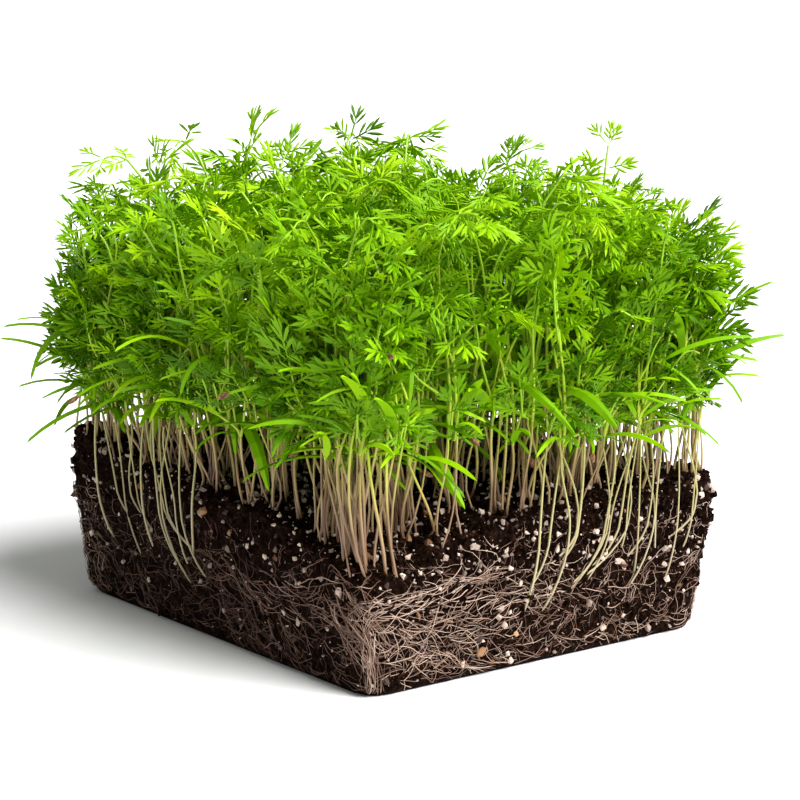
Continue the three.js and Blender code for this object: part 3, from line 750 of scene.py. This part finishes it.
def sweep(start, start_pull, end, end_pull, count):
    """Points on a smooth curve between two places that sets off and arrives along the two pulls."""
    t = np.linspace(0, 1, count)[:, None]
    a, b = 2 * t**3 - 3 * t**2 + 1, t**3 - 2 * t**2 + t
    c, d = -2 * t**3 + 3 * t**2, t**3 - t**2
    return a * start + b * start_pull + c * end + d * end_pull


def facing(along, up):
    """The turn that lays a blade along a direction with its face as near to another as it can be."""
    along = along / np.linalg.norm(along)
    side = np.cross(up, along)
    side /= np.linalg.norm(side)
    face = np.cross(along, side)
    return np.array(Matrix(np.array((along, side, face)).T.tolist()).to_euler())


def compass(angle):
    """A level direction."""
    return np.array((math.cos(angle), math.sin(angle), 0.0))


def held_in(point):
    """How far a point has to move to lie inside the outline that the leaves keep to."""
    x, y = point[0] / (soil_high.x + CANOPY_MARGIN), point[1] / (soil_high.y + CANOPY_MARGIN)
    reach = (abs(x) ** CANOPY_POWER + abs(y) ** CANOPY_POWER) ** (1 / CANOPY_POWER)
    return point * (min(1 / max(reach, 1e-6), 1) - 1) * np.array((1, 1, 0))


def grow_leaf(rng, plant, crown, base, azimuth, pitch, droop, size, rachis, tone):
    """A stalk from the crown to the base of a feathery leaf, and the leaf's rib with its leaflets."""
    flat = compass(azimuth)
    rise = np.linalg.norm(base - crown)
    away = flat * math.cos(pitch) + UP * math.sin(pitch)
    sideways = np.append(rng.normal(0, 0.12, 2), 0)
    start_pull = (UP + 0.15 * flat + sideways) * rise
    end_pull = (0.75 * away + 0.25 * UP) * rise
    plant["threads"].append(dict(
        points=sweep(crown, start_pull, base, end_pull, STEM_POINTS),
        radius=STALK_RADIUS * np.linspace(1, 0.75, STEM_POINTS), tone=np.linspace(0.6, 0.85, STEM_POINTS)))
    ribs = [base]
    ways = []
    for step in range(RACHIS_STEPS):
        slope = pitch - droop * step / RACHIS_STEPS
        ways.append(flat * math.cos(slope) + UP * math.sin(slope))
        ribs.append(ribs[-1] + ways[-1] * rachis / RACHIS_STEPS)
    plant["threads"].append(dict(
        points=np.array(ribs), radius=STALK_RADIUS * np.linspace(0.75, 0.6, RACHIS_STEPS + 1), tone=0.85))
    roll = rng.normal(0, 0.35)
    side = np.cross(UP, flat)
    for station, angle, reach in ((0, 1.2, 1.0), (RACHIS_STEPS, 0.85, 0.9), (RACHIS_STEPS, 0.0, 1.0)):
        way = ways[min(station, RACHIS_STEPS - 1)]
        face = np.cross(way, side) * math.cos(roll) + side * math.sin(roll)
        face /= np.linalg.norm(face)
        across = np.cross(face, way)
        for hand in ((-1, 1) if angle else (0,)):
            turn = hand * (angle + rng.normal(0, 0.15))
            along = way * math.cos(turn) + across * math.sin(turn) + face * rng.normal(0.0, 0.22)
            plant["blades"].append(dict(
                at=ribs[station], turn=facing(along, face),
                size=LEAFLET_LENGTH * size * reach * rng.uniform(0.85, 1.15),
                blade=int(rng.integers(0, LEAFLET_KINDS)),
                tone=float(np.clip(tone + rng.normal(0, 0.05), 0, 1))))


def canopy_at(x, y):
    """How high the leaves stand at a place: low waves, heaped at the back and lowest in the left corner."""
    far = math.hypot(x - HEAP_PLACE[0], y - HEAP_PLACE[1]) / HEAP_SPREAD
    wave = CANOPY_WAVE * math.sin(x / CANOPY_BUMP + 0.7) * math.sin(y / CANOPY_BUMP)
    across, along = x / soil_high.x, y / soil_high.y
    corner = CORNER_DROP * (across * along) ** 2 - CANOPY_TILT * (across - along) / 2
    return CANOPY_TOP + wave + CANOPY_HEAP * math.exp(-far * far / 2) - corner


husks = []


def husk_on(strap):
    """A husk that hangs on the tip of a seed leaf and points on along it."""
    shape = blade_shapes.objects[strap["blade"]].data.vertices
    turn = Euler(strap["turn"]).to_matrix()
    tip = turn @ shape[-1].co * strap["size"]
    way = np.array(turn @ (shape[-1].co - shape[-5].co))
    return dict(
        at=strap["at"] + np.array(tip) - 0.3 * HUSK_LENGTH * way / np.linalg.norm(way),
        turn=facing(way, UP), size=HUSK_LENGTH, blade=0, tone=0.0)


def grow_seedling(rng, plant, path, leaf_count, bare=False, shoot_tip=None):
    """A seedling at the end of a path: the stem up to its crown, two seed leaves and feathery leaves."""
    foot = path[-1]
    rim = max(abs(foot[0]) / soil_high.x, abs(foot[1]) / soil_high.y) ** 3
    outward = math.atan2(foot[1] / soil_high.y, foot[0] / soil_high.x)
    lean = compass(outward) * rng.uniform(-1, 6) * MM * rim + rng.normal(0, 3.5, 3) * MM
    crown = foot + lean
    crown += held_in(crown + compass(outward) * CROWN_MARGIN)
    crown[2] = CROWN_HEIGHT + rng.uniform(-13, 17 - 7 * rim) * MM
    rise = crown[2] - foot[2]
    start_pull = (foot - path[-2]) / np.linalg.norm(foot - path[-2]) * rise
    end_pull = (UP + np.append(rng.normal(0, 0.2, 2), 0)) * rise
    stem = np.concatenate((path[:-1], sweep(foot, start_pull, crown, end_pull, STEM_POINTS)))
    heights = stem[:, 2]
    greening = (heights - STEM_GREEN_FROM + rng.normal(0, 4) * MM) / STEM_GREEN_OVER
    tones = np.clip(greening, 0, STEM_GREEN_MOST)
    thickness = STEM_RADIUS * rng.uniform(0.75, 1.25)
    if bare:
        tones = 1 - BARE_TONES * np.clip((heights - BARE_GREEN_FROM) / BARE_GREEN_OVER, 0, 1)
        thickness *= BARE_THINNING
    radii = thickness * np.linspace(1, 0.8, len(stem))
    plant["threads"].append(dict(points=stem, radius=radii, tone=tones))
    strap_turn = outward + rng.normal(0, 0.8) if rim > FACING_OUT else rng.uniform(0, 6.28)
    for half_turn in (0, math.pi):
        azimuth = strap_turn + half_turn + rng.normal(0, 0.35)
        slope = rng.uniform(-0.3, 0.8)
        along = compass(azimuth) * math.cos(slope) + UP * math.sin(slope)
        tilt = UP + np.append(rng.normal(0, 0.3, 2), 0)
        strap = dict(
            at=crown, turn=facing(along, tilt), size=STRAP_LENGTH * rng.uniform(0.5, 1.35),
            blade=LEAFLET_KINDS + int(rng.integers(0, STRAP_KINDS)), tone=rng.uniform(0.15, 0.7))
        plant["blades"].append(strap)
        if rim > FACING_OUT and rng.random() < HUSK_SHARE:
            husks.append(husk_on(strap))
    top = canopy_at(crown[0], crown[1])
    for number in range(leaf_count):
        azimuth = outward + rng.normal(0, 0.9) if rim > FACING_OUT else rng.uniform(0, 6.28)
        flat = compass(azimuth)
        size = rng.uniform(0.75, 1.25) * (1 - 0.25 * number)
        rachis = RACHIS_LENGTH * rng.uniform(0.8, 1.8)
        nodding = rng.random() < NODDING_SHARE
        pitch = rng.uniform(0.2, 0.6) if nodding else rng.uniform(0.7, 1.45)
        droop = rng.uniform(1.0, 1.7) if nodding else rng.uniform(0.0, 0.5)
        height = top - (rng.uniform(0, 16 + 16 * rim) + number * rng.uniform(10, 44)) * MM
        if number == 0 and rng.random() < TALL_SHARE:
            height = top + rng.uniform(2, 9) * MM
        reach = rachis + LEAFLET_LENGTH * size
        tip_rise = reach * math.sin(pitch - 0.5 * droop)
        tip_out = reach * math.cos(pitch - 0.5 * droop)
        base = crown + flat * rng.uniform(2, 9 + 8 * rim) * MM
        base += held_in(base + flat * tip_out)
        base[2] = max(height - max(tip_rise, LEAST_TIP_RISE), LEAF_LOWEST + rng.uniform(0, 8) * MM)
        if number == 0 and shoot_tip is not None:
            pitch, droop = SHOOT_PITCH, SHOOT_DROOP
            base = shoot_tip - UP * reach
        # Painted shade and light: low leaves get darker tones and high leaves paler ones, on top of a
        # random spread of tone
        tone = 0.18 + 0.4 * (base[2] - LEAF_SHADED_BELOW) / LEAF_LIT_OVER + rng.normal(0, 0.2)
        grow_leaf(rng, plant, crown, base, azimuth, pitch, droop, size, rachis, tone)


def soil_under(x, y):
    """The height of the soil at a place, or nothing where there is none."""
    hit = soil_surface.ray_cast(Vector((x, y, SKY_HEIGHT)), Vector((0, 0, -1)))[0]
    return hit.z if hit else None


stem_material = seedling_stem()
leaf_material = fresh_leaf()
plants_to_mesh = seedling_tree()


def finish_plant(plant, name):
    """Makes the piece of all the stems and leaves that have grown in a plant."""
    worker = new_object("plant worker", sprig_mesh(name, plant["threads"], plant["blades"]))
    run_tree(
        worker, plants_to_mesh, Sides=STEM_SIDES, Blades=blade_shapes, Stem_Material=stem_material,
        Material=leaf_material)
    return plain_piece(worker, name)


shoot_tips = {}
for x, y, z in TALL_SHOOTS:
    tip = np.array((x, y, z)) * MM
    free = [node for node in tuft_nodes if node not in shoot_tips]
    nearest = min(
        free, key=lambda node: math.hypot(tuft_feet[node].x - tip[0], tuft_feet[node].y - tip[1]))
    shoot_tips[nearest] = tip
for index, node in enumerate(tuft_nodes):
    rng = np.random.default_rng(1000 + index)
    plant = dict(threads=[], blades=[])
    foot = tuft_feet[node]
    edge = max(abs(foot.x) / soil_high.x, abs(foot.y) / soil_high.y) > RIM_TUFT
    clumps = [(foot.x, foot.y)]
    for _ in range(CLUMPS_ROUND_TUFT):
        clump_x = foot.x + rng.uniform(-CELL_HALF, CELL_HALF)
        clump_y = foot.y + rng.uniform(-CELL_HALF, CELL_HALF)
        clumps.append((clump_x, clump_y))
    grown = 0
    while grown < (RIM_SEEDLINGS if edge else INNER_SEEDLINGS):
        x, y = clumps[int(rng.integers(0, len(clumps)))] + rng.normal(0, CLUMP_SPREAD, 2)
        ground = soil_under(x, y)
        if max(abs(x) / soil_high.x, abs(y) / soil_high.y) > RIM_LIMIT or ground is None:
            continue
        slant = rng.normal(0, 0.8, 2) * MM
        path = np.array([(x - slant[0], y - slant[1], ground - ROOTED_DEPTH), (x, y, ground)])
        leaf_count = MOST_LEAVES if edge and grown % 3 else 1
        grow_seedling(rng, plant, path, leaf_count, shoot_tip=None if grown else shoot_tips.get(node))
        grown += 1
    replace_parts(finish_plant(plant, node.replace("seedlings", "greens")), node)


# Seedlings on the walls. Where soil fell away from the block's sides, pale stems stand bare from the roots
# in the wall up to the leaves, most of them near the left and right corners.
PASSING_HEIGHT = 37 * MM
PASSING_LIFT = 2.4 * MM
FOOT_SINK = 0.8 * MM
CLIMB_POINTS = 7
# Groups of stems: their places along the wall, heights of the feet and drift along the wall in millimetres
WALL_STEMS = (
    dict(runs=(-134, -70), count=13, feet=(12, 28), drift=-6),
    dict(runs=(52, 118), count=18, feet=(12, 29), drift=6),
    dict(runs=(150, 270), count=9, feet=(14, 30), drift=0),
    dict(runs=(300, 405), count=8, feet=(14, 30), drift=0),
)
rng = np.random.default_rng(77)
wall_plants = dict(threads=[], blades=[])
for group in WALL_STEMS:
    for _ in range(group["count"]):
        run = rng.uniform(*group["runs"]) * MM
        low = rng.uniform(*group["feet"]) * MM
        drift = rng.normal(group["drift"], 5) * MM
        foot = on_wall(run, low, -FOOT_SINK)
        passing = on_wall(run + drift, PASSING_HEIGHT, PASSING_LIFT)
        away = passing - foot
        away[2] = 0.3 * (PASSING_HEIGHT - low)
        climb = sweep(foot, 1.3 * away, passing, UP * (PASSING_HEIGHT - low), CLIMB_POINTS)
        grow_seedling(rng, wall_plants, climb, MOST_LEAVES, bare=True)
finish_plant(wall_plants, "wall_seedlings")


# Seed husks. Dry brown husks with ribs, about 4 mm long. The seed leaves carried them up out of the soil,
# and some still hang on a leaf's tip.
HUSK_WIDTH = 0.42
HUSK_RINGS = ((0.1, 0.55), (0.4, 1.0), (0.72, 0.85), (0.92, 0.4))
HUSK_SIDES = 8


def husk_shape():
    """One husk a unit long: a pointed grain whose ridges stand out of every other edge."""
    points = [np.zeros(3)]
    faces = []
    for along, full in HUSK_RINGS:
        for side in range(HUSK_SIDES):
            angle = 2 * math.pi * side / HUSK_SIDES
            radius = HUSK_WIDTH / 2 * full * (1.0 if side % 2 else 0.8)
            points.append(np.array((along, radius * math.cos(angle), radius * math.sin(angle))))
    points.append(np.array((1.0, 0.0, 0.0)))
    for side in range(HUSK_SIDES):
        after = (side + 1) % HUSK_SIDES
        faces.append((0, 1 + after, 1 + side))
        for ring in range(len(HUSK_RINGS) - 1):
            low, high = 1 + ring * HUSK_SIDES, 1 + (ring + 1) * HUSK_SIDES
            faces.append((low + side, low + after, high + after, high + side))
        last = 1 + (len(HUSK_RINGS) - 1) * HUSK_SIDES
        faces.append((len(points) - 1, last + side, last + after))
    return mesh_object("husk", points, faces)


def dry_husk():
    """Dry seed husk: brown with pale ridges, matt."""
    material, tree = start_material("dry husk")
    place = add(tree, "ShaderNodeTexCoord").outputs["Object"]
    streaks = add(tree, "ShaderNodeTexNoise", {"Vector": place, "Scale": 1 / (0.9 * MM), "Detail": 2.0})
    colour = ramp(tree, streaks.outputs["Fac"], (0.35, "#3d2110"), (0.65, "#8a6238"))
    shader = add(tree, "ShaderNodeBsdfPrincipled", {"Base Color": colour, "Roughness": 0.7})
    add(tree, "ShaderNodeOutputMaterial", {"Surface": shader.outputs[0]})
    return material


husk_shapes = bpy.data.collections.new("husk shapes")
bpy.context.scene.collection.children.link(husk_shapes)
husk_shapes.objects.link(husk_shape())
husk_worker = new_object("husk worker", sprig_mesh("husks", [], husks))
run_tree(
    husk_worker, plants_to_mesh, Sides=STEM_SIDES, Blades=husk_shapes, Stem_Material=stem_material,
    Material=dry_husk())
plain_piece(husk_worker, "seed_husks")
for shapes in (blade_shapes, husk_shapes):
    for shape in list(shapes.objects):
        bpy.data.objects.remove(shape)
    bpy.data.collections.remove(shapes)


# Floor, light and camera. A plain white floor under even white light, with a broad key light from the right
# of the camera, and a long lens a little above the block that sees two sides over one corner.
KEY_STRENGTH = 6.7
KEY_SPREAD = math.radians(45)
KEY_AZIMUTH = math.radians(20)
KEY_ELEVATION = math.radians(50)
WORLD_STRENGTH = 0.32
AZIMUTH = math.radians(-37.36)
ELEVATION = math.radians(10.15)
DISTANCE = 700 * MM
AIM_HEIGHT = 62.12 * MM
AIM_RIGHT = 5.08 * MM
LENS = 108.0
SENSOR = 36.0
FLOOR_SIZE = 80.0

floor_shape = bmesh.new()
bmesh.ops.create_grid(floor_shape, x_segments=1, y_segments=1, size=FLOOR_SIZE / 2)
floor_mesh = bpy.data.meshes.new("floor")
floor_shape.to_mesh(floor_mesh)
floor_shape.free()
floor = new_object("floor", floor_mesh)
paper, paper_tree = start_material("white paper")
paper_shader = add(paper_tree, "ShaderNodeBsdfPrincipled", {
    "Base Color": linear("#fafafa"), "Roughness": 0.9})
add(paper_tree, "ShaderNodeOutputMaterial", {"Surface": paper_shader.outputs[0]})
floor.data.materials.append(paper)

world = bpy.data.worlds.new("white studio")
world.use_nodes = True
world.node_tree.nodes["Background"].inputs["Color"].default_value = (1, 1, 1, 1)
world.node_tree.nodes["Background"].inputs["Strength"].default_value = WORLD_STRENGTH
bpy.context.scene.world = world


def way_to(azimuth, elevation):
    """The direction from the block to a light or camera, round from the front and up from level."""
    level_part = math.cos(elevation)
    return Vector((math.sin(azimuth) * level_part, -math.cos(azimuth) * level_part, math.sin(elevation)))


lamp = bpy.data.lights.new("key", "SUN")
lamp.energy = KEY_STRENGTH
lamp.angle = KEY_SPREAD
key = bpy.data.objects.new("key", lamp)
key.rotation_euler = way_to(KEY_AZIMUTH, KEY_ELEVATION).to_track_quat("Z", "Y").to_euler()
bpy.context.scene.collection.objects.link(key)

lens = bpy.data.cameras.new("camera")
lens.lens = LENS
lens.sensor_width = SENSOR
camera = bpy.data.objects.new("camera", lens)
bpy.context.scene.collection.objects.link(camera)
back = way_to(AZIMUTH, ELEVATION)
aim = Vector((math.cos(AZIMUTH), math.sin(AZIMUTH), 0)) * AIM_RIGHT + Vector((0, 0, AIM_HEIGHT))
camera.location = aim + back * DISTANCE
camera.rotation_euler = back.to_track_quat("Z", "Y").to_euler()
bpy.context.scene.camera = camera
bpy.context.scene.view_settings.view_transform = "Standard"
